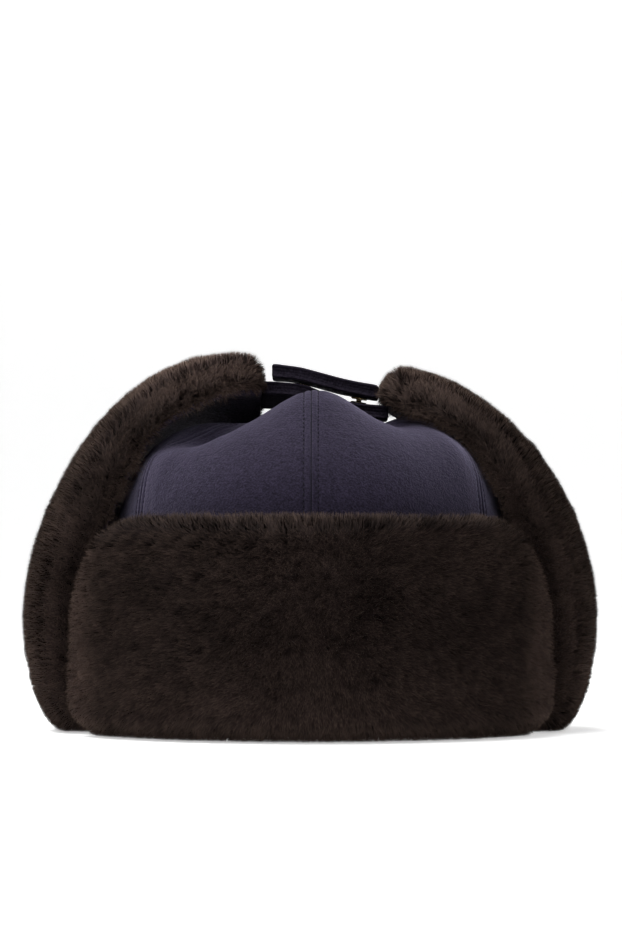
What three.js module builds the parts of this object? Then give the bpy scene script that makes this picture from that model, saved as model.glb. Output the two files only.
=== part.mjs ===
// A wool winter cap with a six-gore crown and fur-faced flaps, all folded up: a front flap, two ear
// flaps whose ends meet over the crown, and a neck flap. Two cloth tabs with press studs join the ear
// flaps. Millimetres, +Z up, the front faces -Y, and left and right are those of someone facing the
// cap. The origin is the middle of the footprint, on the surface that the folds of fur stand on.
import * as THREE from "three";

// Driving dimensions of the head opening and the crown.
const rimHalfWidth = 92;
const rimHalfLength = 100;
const rimRadius = (rimHalfWidth + rimHalfLength) / 2;
const rimHeight = 2;
const crownHeight = 142;
const crownWall = 3;
const seamGap = 0.3;
const tipRise = 0.994;

// The crown's side outline, as a cubic curve: shares of the rim radius and of the crown's height.
const outlineShoulder = { out: 1.03, up: 1 };
const outlineTop = { out: 0.775, up: 1 };

// Dents and swells that the slack cloth of the crown has: where, how far they spread and how far
// they raise or lower the cloth.
const crownFolds = [
  { name: "front ridge", x: 2.5, y: -49.1, spreadX: 21, spreadY: 20.7, rise: 12 },
  { name: "left dent", x: -44.2, y: -36.9, spreadX: 20.2, spreadY: 14.4, rise: -11 },
  { name: "right dent", x: 31.2, y: -31.4, spreadX: 12, spreadY: 15, rise: -8.3 },
  { name: "left shoulder", x: -73.2, y: -47.2, spreadX: 15.2, spreadY: 16.8, rise: 9.7 },
  { name: "right shoulder", x: 73.3, y: -50.2, spreadX: 15.5, spreadY: 16.2, rise: 10.1 },
  { name: "hollow under the tabs", x: 0.3, y: 13.8, spreadX: 48.6, spreadY: 27, rise: -17.3 },
  { name: "left swell", x: -46.1, y: -18, spreadX: 15.2, spreadY: 14, rise: 2.2 },
  { name: "right swell", x: 43.9, y: -15.3, spreadX: 12.7, spreadY: 12.9, rise: 5.4 },
  { name: "rear slump", x: 14, y: 58, spreadX: 30, spreadY: 18, rise: -6 },
];
// Seams between the six gores: the azimuth in degrees at the rim, and how far the seam leans towards
// the side of the cap on its way over the shoulder.
const seams = [
  { name: "front", azimuth: 0, lean: 0 },
  { name: "front right", azimuth: 59, lean: 5 },
  { name: "rear right", azimuth: 121, lean: -5 },
  { name: "rear", azimuth: 180, lean: 0 },
  { name: "rear left", azimuth: 239, lean: 5 },
  { name: "front left", azimuth: 301, lean: -4 },
  { name: "front again", azimuth: 360, lean: 0 },
];
const leanFrom = 0.38;
const leanTo = 0.62;
// A gore's rows of points: few below the split, close together over it, where the folds are.
const goreRows = { below: 4, above: 12, split: 0.45 };
const foldsBeginAt = 55;
const foldsFullAt = 105;

// Flap cloth and pile. The pile stands in shingled rows of locks, each row half a lock out of step
// with the last: shares of the pile's depth that a lock's root lies under it and its tip over it.
const flapCloth = 2.5;
const restGap = 0.75;
const pileEdge = 1;
const pileRound = 9;
// Angles through the quarter rounds at the pile's end and at its side edges.
const endAngles = [0, 0.55, 1.05, 1.45];
const edgeAngles = [0, 0.6, 1.15];
const lock = { length: 13.5, width: 12, root: -0.05, tip: 0.07, side: -0.03, tipAt: 0.86, point: 0.2 };
const soleWidth = 5;

// Front flap and neck flap: rows run up from the fold, out is measured from the rim's outline.
const frontFlap = {
  middle: 0,
  front: -109,
  back: 109,
  corner: 38,
  foot: 12,
  overhang: 5,
  endOverhang: 6,
  wrap: 0,
  flare: 3,
  rows: [
    { out: 1.8, up: 6, pile: 9 },
    { out: 7.4, up: 8.6, pile: 14.5 },
    { out: 9, up: 15.5, pile: 15 },
    { out: 8.2, up: 27, pile: 16 },
    { out: 7.5, up: 39.5, pile: 16.3 },
    { out: 6.8, up: 52, pile: 16.3 },
    { out: 6.2, up: 64.5, pile: 16 },
    { out: 5.6, up: 77, pile: 15.5 },
    { out: 5, up: 90, pile: 14.5 },
  ],
};
const neckFlap = {
  middle: Math.PI,
  front: -80,
  back: 80,
  corner: 18,
  foot: 10,
  overhang: 5,
  endOverhang: 6,
  wrap: 0,
  flare: 0,
  rows: [
    { out: 1.8, up: 6, pile: 9 },
    { out: 7.6, up: 8.6, pile: 14.5 },
    { out: 9.4, up: 15.5, pile: 15.5 },
    { out: 9.2, up: 27, pile: 16.5 },
    { out: 8.8, up: 39, pile: 16.5 },
    { out: 8, up: 51, pile: 16.5 },
    { out: 7, up: 62, pile: 16.5 },
    { out: 5.6, up: 73, pile: 15.5 },
    { out: 4.6, up: 84, pile: 14.5 },
  ],
};

// Ear flaps: rows run from the fold, up the side and over the shoulder of the crown. out and up are
// the cloth's outer face in the middle, front and back its edges, bow the radius that it bends to
// across, and lift how far its front edge is tipped up. wrap is how far the pile reaches round the
// cloth's front edge, on the flap's upper part.
const wrapFrom = 70;
const wrapFull = 95;
const rightEarFlap = {
  side: 1,
  corner: 12,
  foot: 6,
  overhang: 4,
  endOverhang: 6,
  wrap: 2.6,
  rows: [
    { out: 94.6, up: 6, front: -33, back: 60, bow: 100, pile: 9, lift: 0 },
    { out: 99.8, up: 9.3, front: -33, back: 61, bow: 92, pile: 15.5, lift: 0 },
    { out: 104.2, up: 17, front: -33, back: 61, bow: 84, pile: 17, lift: 0 },
    { out: 107.4, up: 29, front: -33, back: 60, bow: 77, pile: 17.7, lift: 0 },
    { out: 109.2, up: 43, front: -33, back: 59, bow: 72, pile: 18.1, lift: 0 },
    { out: 109.1, up: 58, front: -33, back: 57, bow: 70, pile: 18.3, lift: 0 },
    { out: 106.6, up: 73.1, front: -35, back: 54, bow: 70, pile: 18.2, lift: 0 },
    { out: 101.9, up: 87.9, front: -38, back: 51, bow: 71, pile: 18.1, lift: 0 },
    { out: 95.1, up: 102, front: -39, back: 47, bow: 88, pile: 18, lift: 0 },
    { out: 86.6, up: 115.6, front: -38, back: 43, bow: 120, pile: 17, lift: 0 },
    { out: 76.7, up: 127.9, front: -34, back: 39, bow: 160, pile: 15.8, lift: 0 },
    { out: 64, up: 138.2, front: -31, back: 37, bow: 150, pile: 15, lift: 0 },
    { out: 50.3, up: 145.2, front: -28, back: 35, bow: 110, pile: 14.8, lift: 0 },
    { out: 36, up: 148.7, front: -27, back: 34, bow: 84, pile: 15.2, lift: 0 },
  ],
};
const leftEarFlap = {
  side: -1,
  corner: 6,
  foot: 6,
  overhang: 4,
  endOverhang: 0.8,
  wrap: 0,
  rows: [
    { out: 94.6, up: 6, front: -33, back: 60, bow: 100, pile: 9, lift: 0 },
    { out: 100, up: 9.3, front: -33, back: 61, bow: 92, pile: 15.5, lift: 0 },
    { out: 104.6, up: 17, front: -33, back: 61, bow: 85, pile: 17, lift: 0 },
    { out: 108.2, up: 29, front: -33, back: 60, bow: 79, pile: 17.8, lift: 0 },
    { out: 110.2, up: 44, front: -33, back: 59, bow: 74, pile: 18.2, lift: 0 },
    { out: 109.8, up: 59.1, front: -33, back: 57, bow: 72, pile: 18.4, lift: 0 },
    { out: 106.7, up: 76, front: -35, back: 54, bow: 78, pile: 18.2, lift: 0 },
    { out: 101.5, up: 91.3, front: -38, back: 51, bow: 84, pile: 18.1, lift: 0 },
    { out: 94.1, up: 106.8, front: -39, back: 47, bow: 95, pile: 18, lift: 0 },
    { out: 85.4, up: 120.6, front: -38, back: 43, bow: 116, pile: 17.9, lift: 0 },
    { out: 74.7, up: 133.5, front: -33, back: 39, bow: 140, pile: 17.5, lift: 0 },
    { out: 61.6, up: 143.9, front: -29, back: 39, bow: 128, pile: 17.1, lift: 0.1 },
    { out: 46.2, up: 149.7, front: -27, back: 38, bow: 118, pile: 17.2, lift: 1.8 },
    { out: 31.6, up: 150.6, front: -26, back: 36.5, bow: 118, pile: 16, lift: 4.6 },
    { out: 22.5, up: 149.4, front: -26, back: 35, bow: 118, pile: 14.8, lift: 5.8 },
  ],
};

// Tabs: rows run along X, z is the middle of the tab's thickness and lift how far its front edge is
// tipped up.
const tab = { width: 26, thick: 6.2, round: 1.6, seam: 0.8, rowCount: 8 };
const lowerTabRows = [
  { x: -20.7, z: 150.6, lift: 2.6 },
  { x: -10, z: 150.3, lift: 2.6 },
  { x: 0, z: 148.7, lift: 2.3 },
  { x: 10, z: 145.6, lift: 0.9 },
  { x: 20, z: 143.6, lift: 0.2 },
  { x: 33.8, z: 142.1, lift: 0.2 },
];
const upperTabRows = [
  { x: -17, z: 160.8, lift: 0.3 },
  { x: -6, z: 159.6, lift: 0.3 },
  { x: 4, z: 157.1, lift: 0.3 },
  { x: 15, z: 154.2, lift: 0.3 },
  { x: 29.6, z: 151.5, lift: 0 },
];

// Press studs: the ball half sits on the lower tab and the socket half under the upper one.
const stud = { radius: 3.6, plate: 0.5, post: 1.2, hole: 1.7, rim: 0.7, seat: 0.4, sides: 12 };
const studPlaces = [
  { name: "left", x: -4 },
  { name: "right", x: 21.5 },
];

// Colours from life: navy wool, dark brown fur and brass.
const wool = new THREE.MeshStandardMaterial({ color: 0x2e2b3c, roughness: 0.95, metalness: 0 });
const woolShade = new THREE.MeshStandardMaterial({ color: 0x22202d, roughness: 0.95, metalness: 0 });
const fur = new THREE.MeshStandardMaterial({ color: 0x2e2521, roughness: 1, metalness: 0 });
const brass = new THREE.MeshStandardMaterial({ color: 0xb08a48, roughness: 0.35, metalness: 1 });

// The part of a table's row at t, from 0 at its first row to 1 at its last, eased through the rows.
function rowAt(rows, t, columns) {
  const place = THREE.MathUtils.clamp(t, 0, 1) * (rows.length - 1);
  const first = Math.min(Math.floor(place), rows.length - 2);
  const near = [first - 1, first, first + 1, first + 2].map(
    (i) => rows[THREE.MathUtils.clamp(i, 0, rows.length - 1)],
  );
  const f = place - first;
  const found = {};
  for (const column of columns) {
    const [a, b, c, d] = near.map((row) => row[column]);
    const slopeIn = (c - a) / 2;
    const slopeOut = (d - b) / 2;
    found[column] =
      b +
      slopeIn * f +
      (3 * (c - b) - 2 * slopeIn - slopeOut) * f ** 2 +
      (2 * (b - c) + slopeIn + slopeOut) * f ** 3;
  }
  return found;
}

// A closed geometry from points and triangles, turned so that its faces point out.
function closedGeometry(points, triangles) {
  let volume = 0;
  for (let i = 0; i < triangles.length; i += 3) {
    const [a, b, c] = triangles.slice(i, i + 3).map((k) => points[k]);
    volume += a.dot(new THREE.Vector3().crossVectors(b, c));
  }
  if (volume < 0) triangles.reverse();
  const geometry = new THREE.BufferGeometry().setFromPoints(points);
  geometry.setIndex(triangles);
  return geometry;
}

// The triangles between two rows of point numbers that may be divided unlike each other.
function stitched(a, b) {
  const triangles = [];
  let [i, j] = [0, 0];
  while (i < a.length - 1 || j < b.length - 1) {
    const next = (k, list) => (k < list.length - 1 ? (k + 1) / (list.length - 1) : Infinity);
    if (next(i, a) <= next(j, b)) triangles.push(a[i], a[++i], b[j]);
    else triangles.push(a[i], b[j + 1], b[j++]);
  }
  return triangles;
}

// A wall between two grids of points over the same area, closed along its four edges. The grids
// may have unlike numbers of rows and columns.
function wallBetween(outer, inner) {
  const triangles = [];
  const number = (grid, first) => grid.map((row, r) => row.map((_, c) => first + r * row.length + c));
  const out = number(outer, 0);
  const within = number(inner, outer.length * outer[0].length);
  const face = (grid) =>
    grid.slice(1).flatMap((row, r) =>
      row.slice(1).flatMap((corner, c) => [
        ...[grid[r][c], grid[r][c + 1], corner],
        ...[grid[r][c], corner, row[c]],
      ]),
    );
  const side = (grid, column) => grid.map((row) => row.at(column));
  triangles.push(...face(out), ...face(within).reverse());
  triangles.push(...stitched(within[0], out[0]), ...stitched(out.at(-1), within.at(-1)));
  triangles.push(...stitched(side(out, 0), side(within, 0)));
  triangles.push(...stitched(side(within, -1), side(out, -1)));
  return closedGeometry([...outer.flat(), ...inner.flat()], triangles);
}

// A solid through matching closed loops of points, capped at both ends.
function loft(loops) {
  const count = loops[0].length;
  const points = loops.flat();
  const triangles = [];
  for (let k = 0; k < loops.length - 1; k++) {
    for (let i = 0; i < count; i++) {
      const a = k * count + i;
      const b = k * count + ((i + 1) % count);
      triangles.push(a, b, b + count, a, b + count, a + count);
    }
  }
  for (const [start, turned] of [[0, true], [(loops.length - 1) * count, false]]) {
    const middle = points.length;
    const loop = points.slice(start, start + count);
    points.push(loop.reduce((sum, p) => sum.add(p), new THREE.Vector3()).divideScalar(count));
    for (let i = 0; i < count; i++) {
      const pair = [start + i, start + ((i + 1) % count)];
      triangles.push(middle, ...(turned ? pair.reverse() : pair));
    }
  }
  return closedGeometry(points, triangles);
}

function piece(name, geometry, material) {
  const mesh = new THREE.Mesh(geometry, material);
  mesh.name = name;
  return mesh;
}

// The crown.
const crownOutline = new THREE.CubicBezierCurve(
  new THREE.Vector2(rimRadius, rimHeight),
  new THREE.Vector2(rimRadius * outlineShoulder.out, crownHeight * outlineShoulder.up),
  new THREE.Vector2(rimRadius * outlineTop.out, crownHeight * outlineTop.up),
  new THREE.Vector2(0, crownHeight),
);

function foldRise(x, y, z) {
  const share = THREE.MathUtils.smoothstep(z, foldsBeginAt, foldsFullAt);
  const bell = (fold) =>
    fold.rise * Math.exp(-(((x - fold.x) / fold.spreadX) ** 2) - ((y - fold.y) / fold.spreadY) ** 2);
  return share * crownFolds.reduce((sum, fold) => sum + bell(fold), 0);
}

// A point of the crown's outer face: azimuth is 0 at the front and grows towards the right, and
// rise runs from 0 at the rim to 1 at the top.
function crownPoint(azimuth, rise) {
  const outline = crownOutline.getPointAt(rise);
  const share = outline.x / rimRadius;
  const x = rimHalfWidth * share * Math.sin(azimuth);
  const y = -rimHalfLength * share * Math.cos(azimuth);
  return new THREE.Vector3(x, y, outline.y + foldRise(x, y, outline.y));
}

// The point of the crown's inner face under it, squarely under the outline that has no folds.
function crownInside(azimuth, rise) {
  const tangent = crownOutline.getTangentAt(rise);
  const across = new THREE.Vector3(rimHalfWidth * Math.sin(azimuth), -rimHalfLength * Math.cos(azimuth), 0);
  const outward = across.normalize().multiplyScalar(tangent.y);
  outward.z = -tangent.x;
  return crownPoint(azimuth, rise).addScaledVector(outward, -crownWall);
}

function seamAzimuth(seam, rise) {
  const lean = seam.lean * THREE.MathUtils.smoothstep(rise, leanFrom, leanTo);
  return THREE.MathUtils.degToRad(seam.azimuth + lean);
}

function rowRise(row) {
  const { below, above, split } = goreRows;
  return row < below ? (split * row) / below : split + ((tipRise - split) * (row - below)) / above;
}

function gore(number, columnCount) {
  const outer = [];
  const inner = [];
  for (let row = 0; row <= goreRows.below + goreRows.above; row++) {
    const rise = rowRise(row);
    const radius = (rimHalfWidth * crownOutline.getPointAt(rise).x) / rimRadius;
    const half = seamGap / 2 / radius;
    const start = seamAzimuth(seams[number], rise) + half;
    const end = seamAzimuth(seams[number + 1], rise) - half;
    const azimuths = Array.from({ length: columnCount + 1 }, (_, column) =>
      THREE.MathUtils.lerp(start, end, column / columnCount),
    );
    outer.push(azimuths.map((azimuth) => crownPoint(azimuth, rise)));
    inner.push(azimuths.map((azimuth) => crownInside(azimuth, rise)));
  }
  return wallBetween(outer, inner);
}

// The flaps. A flap maps a length up from its fold, a place across it and an offset off its cloth's
// outer face to a point.
function flapPath(rows) {
  const curve = new THREE.SplineCurve(rows.map((row) => new THREE.Vector2(row.out, row.up)));
  const length = curve.getLength();
  const along = (s) => {
    const t = curve.getUtoTmapping(Math.min(s / length, 1));
    const tangent = curve.getTangent(t);
    const point = curve.getPoint(t).addScaledVector(tangent, Math.max(s - length, 0));
    return { t, point, outward: new THREE.Vector2(tangent.y, -tangent.x) };
  };
  return { length, along };
}

function bandFlap(flap) {
  const path = flapPath(flap.rows);
  const place = (s, across, offset) => {
    const { point, outward } = path.along(s);
    const azimuth = flap.middle + across / rimRadius;
    const [sine, cosine] = [Math.sin(azimuth), Math.cos(azimuth)];
    const normal = new THREE.Vector2(sine / rimHalfWidth, -cosine / rimHalfLength).normalize();
    const out = point.x + outward.x * offset + flap.flare * (across / flap.back) ** 4;
    return new THREE.Vector3(
      rimHalfWidth * sine + normal.x * out,
      -rimHalfLength * cosine + normal.y * out,
      Math.max(point.y + outward.y * offset, 0),
    );
  };
  const edges = () => [flap.front, flap.back];
  return { ...flap, ...path, place, edges };
}

function earFlap(flap) {
  const path = flapPath(flap.rows);
  const place = (s, across, offset) => {
    const { t, point, outward } = path.along(s);
    const row = rowAt(flap.rows, t, ["front", "bow", "lift"]);
    const bowed = offset - across ** 2 / (2 * row.bow) + (row.lift * across) / row.front;
    const out = point.x + outward.x * bowed;
    return new THREE.Vector3(flap.side * out, across, Math.max(point.y + outward.y * bowed, 0));
  };
  const edges = (s) => {
    const row = rowAt(flap.rows, path.along(s).t, ["front", "back"]);
    return [row.front, row.back];
  };
  return { ...flap, ...path, place, edges };
}

// How far a rounded corner of this radius draws an edge in, at a distance short of its end.
function cornerInset(distance, radius) {
  const reach = THREE.MathUtils.clamp(1 - distance / radius, 0, 1);
  return radius * (1 - Math.sqrt(1 - reach ** 2));
}

// A flap's two side edges at s, widened by an overhang and drawn in at its rounded corners.
function flapEdges(flap, s, overhang, total) {
  const top = cornerInset(total - s, flap.corner + overhang);
  const bottom = cornerInset(s, flap.foot);
  const [front, back] = flap.edges(s);
  return [front - overhang + top + bottom, back + overhang - top - bottom];
}

// A grid of points of a flap at an offset off its cloth: even rows and columns.
function clothGrid(flap, rowCount, columnCount, offset) {
  return Array.from({ length: rowCount + 1 }, (_, row) => {
    const s = (flap.length * row) / rowCount;
    const [front, back] = flapEdges(flap, s, 0, flap.length);
    return Array.from({ length: columnCount + 1 }, (_, column) =>
      flap.place(s, THREE.MathUtils.lerp(front, back, column / columnCount), offset),
    );
  });
}

function flapLining(flap, rowCount, columnCount) {
  const outer = clothGrid(flap, rowCount, columnCount, 0);
  return wallBetween(outer, clothGrid(flap, rowCount, columnCount, -flapCloth));
}

// The pile's inner face: the cloth's own grid, with a row and columns more for the overhang. Its
// front edge comes in where the pile wraps round the cloth.
function pileInside(flap, rowCount, columnCount) {
  const total = flap.length + flap.endOverhang;
  const rows = clothGrid(flap, rowCount, columnCount, restGap);
  const ends = [...rows.map((_, row) => (flap.length * row) / rowCount), total];
  rows.push(null);
  return rows.map((row, r) => {
    const [front, back] = flapEdges(flap, ends[r], flap.overhang, total);
    const wrap = flap.wrap * THREE.MathUtils.smoothstep(ends[r], wrapFrom, wrapFull);
    const edge = (across) => flap.place(ends[r], across, restGap);
    const last = () =>
      Array.from({ length: columnCount + 1 }, (_, column) =>
        edge(THREE.MathUtils.lerp(front, back, (column + 0.5) / (columnCount + 1))),
      );
    return [flap.place(ends[r], front, restGap - wrap), ...(row ?? last()), edge(back)];
  });
}

// A steady number from 0 to 1 for a lock's place, so that no two locks stand quite alike.
function scatter(row, column) {
  const value = Math.sin(row * 12.9898 + column * 78.233) * 43758.5453;
  return value - Math.floor(value);
}

// The rows of a pile's outer face: where they run, how far the pile is rounded down there and which
// row of locks they belong to.
function pileRows(flap) {
  const total = flap.length + flap.endOverhang;
  const straight = total - pileRound;
  const lockRows = Math.round(straight / lock.length);
  const pitch = straight / lockRows;
  const rows = [];
  for (let k = 0; k < lockRows; k++) {
    rows.push({ s: k * pitch, share: 1, lockRow: k, rootward: true });
    if (k === 0) rows.push({ s: soleWidth, share: 1, lockRow: k, rootward: true });
    rows.push({ s: (k + lock.tipAt) * pitch, share: 1, lockRow: k, rootward: false });
  }
  for (const angle of endAngles) {
    const s = straight + pileRound * Math.sin(angle);
    rows.push({ s, share: Math.cos(angle), lockRow: lockRows, rootward: true });
  }
  return { rows, total, pitch };
}

// The columns of a pile's outer face between two edges: their place and how far they are rounded.
function pileColumns(front, back, lockCount) {
  const round = Math.min(pileRound, (back - front) / 2.5);
  const rising = edgeAngles.map((a) => ({ across: front + round * (1 - Math.cos(a)), share: Math.sin(a) }));
  const falling = rising.map(({ across, share }) => ({ across: front + back - across, share })).reverse();
  const middle = Array.from({ length: 2 * lockCount + 1 }, (_, k) => ({
    across: THREE.MathUtils.lerp(front + round, back - round, k / (2 * lockCount)),
    share: 1,
    number: k,
  }));
  return [...rising, ...middle, ...falling];
}

// The pile: full over the middle of the flap, rounded off at its edges and its end, and raised in
// rows of locks.
function flapFur(flap, rowCount, columnCount) {
  const { rows, total, pitch } = pileRows(flap);
  const [front, back] = flap.edges(0);
  const lockCount = Math.round((back - front + 2 * flap.overhang - 2 * pileRound) / lock.width);
  const outer = rows.map(({ s, share, lockRow, rootward }) => {
    const [left, right] = flapEdges(flap, s, flap.overhang, total);
    const { pile } = rowAt(flap.rows, flap.along(s).t, ["pile"]);
    return pileColumns(left, right, lockCount).map((column) => {
      const crest = column.number !== undefined && (column.number + lockRow) % 2 === 1;
      const tip = crest ? lock.tip * (0.5 + scatter(lockRow, column.number)) : lock.side;
      const swell = rootward ? lock.root * (share === 1 ? 1 : 0) : tip;
      const height = pile * (1 + swell * column.share) - pileEdge;
      const onward = rootward || column.number === undefined ? 0 : (crest ? 0 : -lock.point) * pitch;
      const offset = restGap + pileEdge + height * column.share * share;
      return flap.place(s + onward, column.across, offset);
    });
  });
  return wallBetween(outer, pileInside(flap, rowCount, columnCount));
}

// The tabs: a flat section with rounded edges and a seam line along the middle of each edge.
function tabSection() {
  const { width, thick, round, seam } = tab;
  const quarter = [
    { y: width / 2 - seam, z: 0 },
    { y: width / 2, z: round / 2 },
    { y: width / 2, z: thick / 2 - round },
    { y: width / 2 - round, z: thick / 2 },
  ];
  const mirrored = quarter.slice(1).reverse().map(({ y, z }) => ({ y: -y, z }));
  const upper = [...quarter, ...mirrored, { y: -(width / 2 - seam), z: 0 }];
  const lower = upper.slice(1, -1).reverse().map(({ y, z }) => ({ y, z: -z }));
  return [...upper, ...lower];
}

function tabSolid(rows) {
  const section = tabSection();
  const loops = Array.from({ length: tab.rowCount + 1 }, (_, k) => {
    const row = rowAt(rows, k / tab.rowCount, ["x", "z", "lift"]);
    const tip = -row.lift / (tab.width / 2);
    return section.map(({ y, z }) => new THREE.Vector3(row.x, y, row.z + z + tip * y));
  });
  return loft(loops);
}

// The height of a tab's middle at x, its slope there along X and its tip along Y.
function tabMiddle(rows, x) {
  const xAt = (t) => rowAt(rows, t, ["x"]).x;
  let [low, high] = [0, 1];
  for (let k = 0; k < 30; k++) {
    const t = (low + high) / 2;
    if (xAt(t) < x) low = t;
    else high = t;
  }
  const step = 0.01;
  const [a, b] = [low - step, low + step].map((t) => rowAt(rows, t, ["x", "z"]));
  const { z, lift } = rowAt(rows, low, ["z", "lift"]);
  return { z, slope: (b.z - a.z) / (b.x - a.x), tip: -lift / (tab.width / 2) };
}

function studHalf(profile) {
  const geometry = new THREE.LatheGeometry(profile.map(([r, z]) => new THREE.Vector2(r, z)), stud.sides);
  geometry.rotateX(Math.PI / 2);
  return geometry;
}

// Both halves stand up from z = 0: the ball's plate with its post, and the socket's ring, whose
// hole goes right through.
function ballGeometry(postHeight) {
  const { radius, plate, post } = stud;
  return studHalf([
    [0, 0],
    [radius, 0],
    [radius, plate * 0.5],
    [radius - plate * 0.5, plate],
    [post, plate],
    [post, postHeight],
    [0, postHeight],
  ]);
}

function socketGeometry() {
  const { radius, hole, rim } = stud;
  return studHalf([
    [hole, 0],
    [radius - rim * 0.4, 0],
    [radius, rim * 0.4],
    [radius, rim],
    [hole, rim],
    [hole, 0],
  ]);
}

const hat = new THREE.Group();

// The gores in order round the crown, with their columns.
const gores = [
  { name: "front_right", columns: 8 },
  { name: "side_right", columns: 8 },
  { name: "rear_right", columns: 6 },
  { name: "rear_left", columns: 6 },
  { name: "side_left", columns: 8 },
  { name: "front_left", columns: 8 },
];
gores.forEach(({ name, columns }, number) =>
  hat.add(piece(`crown_gore_${name}`, gore(number, columns), wool)),
);

// Each flap with the rows and columns of its cloth.
const flaps = [
  { name: "front_flap", shape: bandFlap(frontFlap), cloth: [8, 16] },
  { name: "ear_flap_left", shape: earFlap(leftEarFlap), cloth: [14, 6] },
  { name: "ear_flap_right", shape: earFlap(rightEarFlap), cloth: [14, 6] },
  { name: "neck_flap", shape: bandFlap(neckFlap), cloth: [8, 12] },
];
for (const { name, shape, cloth } of flaps) {
  hat.add(piece(`${name}_cloth`, flapLining(shape, ...cloth), woolShade));
  hat.add(piece(`${name}_fur`, flapFur(shape, ...cloth), fur));
}

hat.add(piece("tab_lower", tabSolid(lowerTabRows), woolShade));
hat.add(piece("tab_upper", tabSolid(upperTabRows), woolShade));
for (const { name, x } of studPlaces) {
  const below = tabMiddle(lowerTabRows, x);
  const above = tabMiddle(upperTabRows, x);
  const up = new THREE.Vector3(0, 0, 1);
  const squareOn = new THREE.Vector3(-below.slope - above.slope, -below.tip - above.tip, 2).normalize();
  const spread = Math.abs(below.slope - above.slope) + Math.abs(below.tip - above.tip);
  const slack = stud.seat + (stud.radius * spread) / 2;
  const room = (above.z - below.z - tab.thick) * squareOn.z - 2 * slack;
  const ball = piece(`press_stud_ball_${name}`, ballGeometry(room - stud.seat), brass);
  ball.position.z = -room / 2;
  const socket = piece(`press_stud_socket_${name}`, socketGeometry(), brass);
  socket.position.z = room / 2 - stud.rim;
  const both = new THREE.Group();
  both.add(ball, socket);
  both.position.set(x, 0, (above.z + below.z) / 2);
  both.quaternion.setFromUnitVectors(up, squareOn);
  hat.add(both);
}

export default hat;
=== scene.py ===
"""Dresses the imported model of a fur-faced wool hat: its crown, flaps, fur, tabs and press studs."""

import math

import bmesh
import bpy
import numpy as np
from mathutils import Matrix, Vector
from mathutils.bvhtree import BVHTree


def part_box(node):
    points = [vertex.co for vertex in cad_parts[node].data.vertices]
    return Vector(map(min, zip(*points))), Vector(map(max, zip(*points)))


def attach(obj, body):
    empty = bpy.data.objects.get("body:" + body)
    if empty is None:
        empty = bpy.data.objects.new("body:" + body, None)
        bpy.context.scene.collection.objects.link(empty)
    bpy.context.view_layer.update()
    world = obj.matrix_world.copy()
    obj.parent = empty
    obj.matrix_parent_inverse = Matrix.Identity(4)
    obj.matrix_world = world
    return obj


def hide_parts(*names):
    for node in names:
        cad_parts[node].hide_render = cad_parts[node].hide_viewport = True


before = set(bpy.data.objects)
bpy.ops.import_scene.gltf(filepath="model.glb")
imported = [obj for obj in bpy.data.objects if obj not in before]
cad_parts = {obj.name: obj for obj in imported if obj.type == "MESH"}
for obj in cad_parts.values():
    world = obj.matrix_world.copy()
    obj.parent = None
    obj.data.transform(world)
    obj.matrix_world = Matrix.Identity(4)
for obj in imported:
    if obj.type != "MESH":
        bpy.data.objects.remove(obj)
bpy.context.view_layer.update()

bl_info = {
    "name": "Fur-flapped wool hat",
    "version": (1, 0, 0),
    "blender": (4, 5, 0),
    "location": "3D View > Sidebar > Hat",
    "description": "Makes the cloth, fur, stitching and studs of a hat round its packed model",
    "category": "Object",
}

MERGE_DISTANCE = 2e-5
SIDES = ("left", "right")
GORES = ("front_right", "side_right", "rear_right", "rear_left", "side_left", "front_left")
SHARP = math.radians(50)
THREAD_COLOUR = (0.006, 0.005, 0.009)
TAB_COLOUR = (0.014, 0.0115, 0.018)
# A seam is followed down from this rise to the crown's lower edge.
SEAM_FOOT_RISE = math.radians(-15)
# Fur this far off its cloth or further is a flap's face, whose pits are filled.
FACE_OFF_CLOTH = 0.0134
# The bumps on a flap's face are lowered by this share of their height.
BUMPS_LOWERED = 0.45
# Fur this near its cloth and turned towards it lies on it, and has no pile.
NEAR_CLOTH = 0.006
TOWARDS_CLOTH = 0.2
# The loose pile takes at most this share of the fur's thickness, which a ray measures from a
# little under the surface.
PILE_SHARE = 0.38
UNDER_SURFACE = 2e-4
HAIR_FLOOR = 0.0004
# How far the hair of the ear and neck flaps leans over, for one upwards.
HAIR_LEAN = 0.3
# The hair on an ear flap's front edge falls towards a line along the hat at the first height. It
# is cut short up to the second height, and is long from the third one up.
SPILL_HEIGHT = 0.06
SHORT_SPILL = 0.085
LONG_SPILL = 0.115
# The lower tab is made longer over this much of its end.
TAB_END = 0.004
LIT_HEIGHT = 0.08


# Node trees

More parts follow.
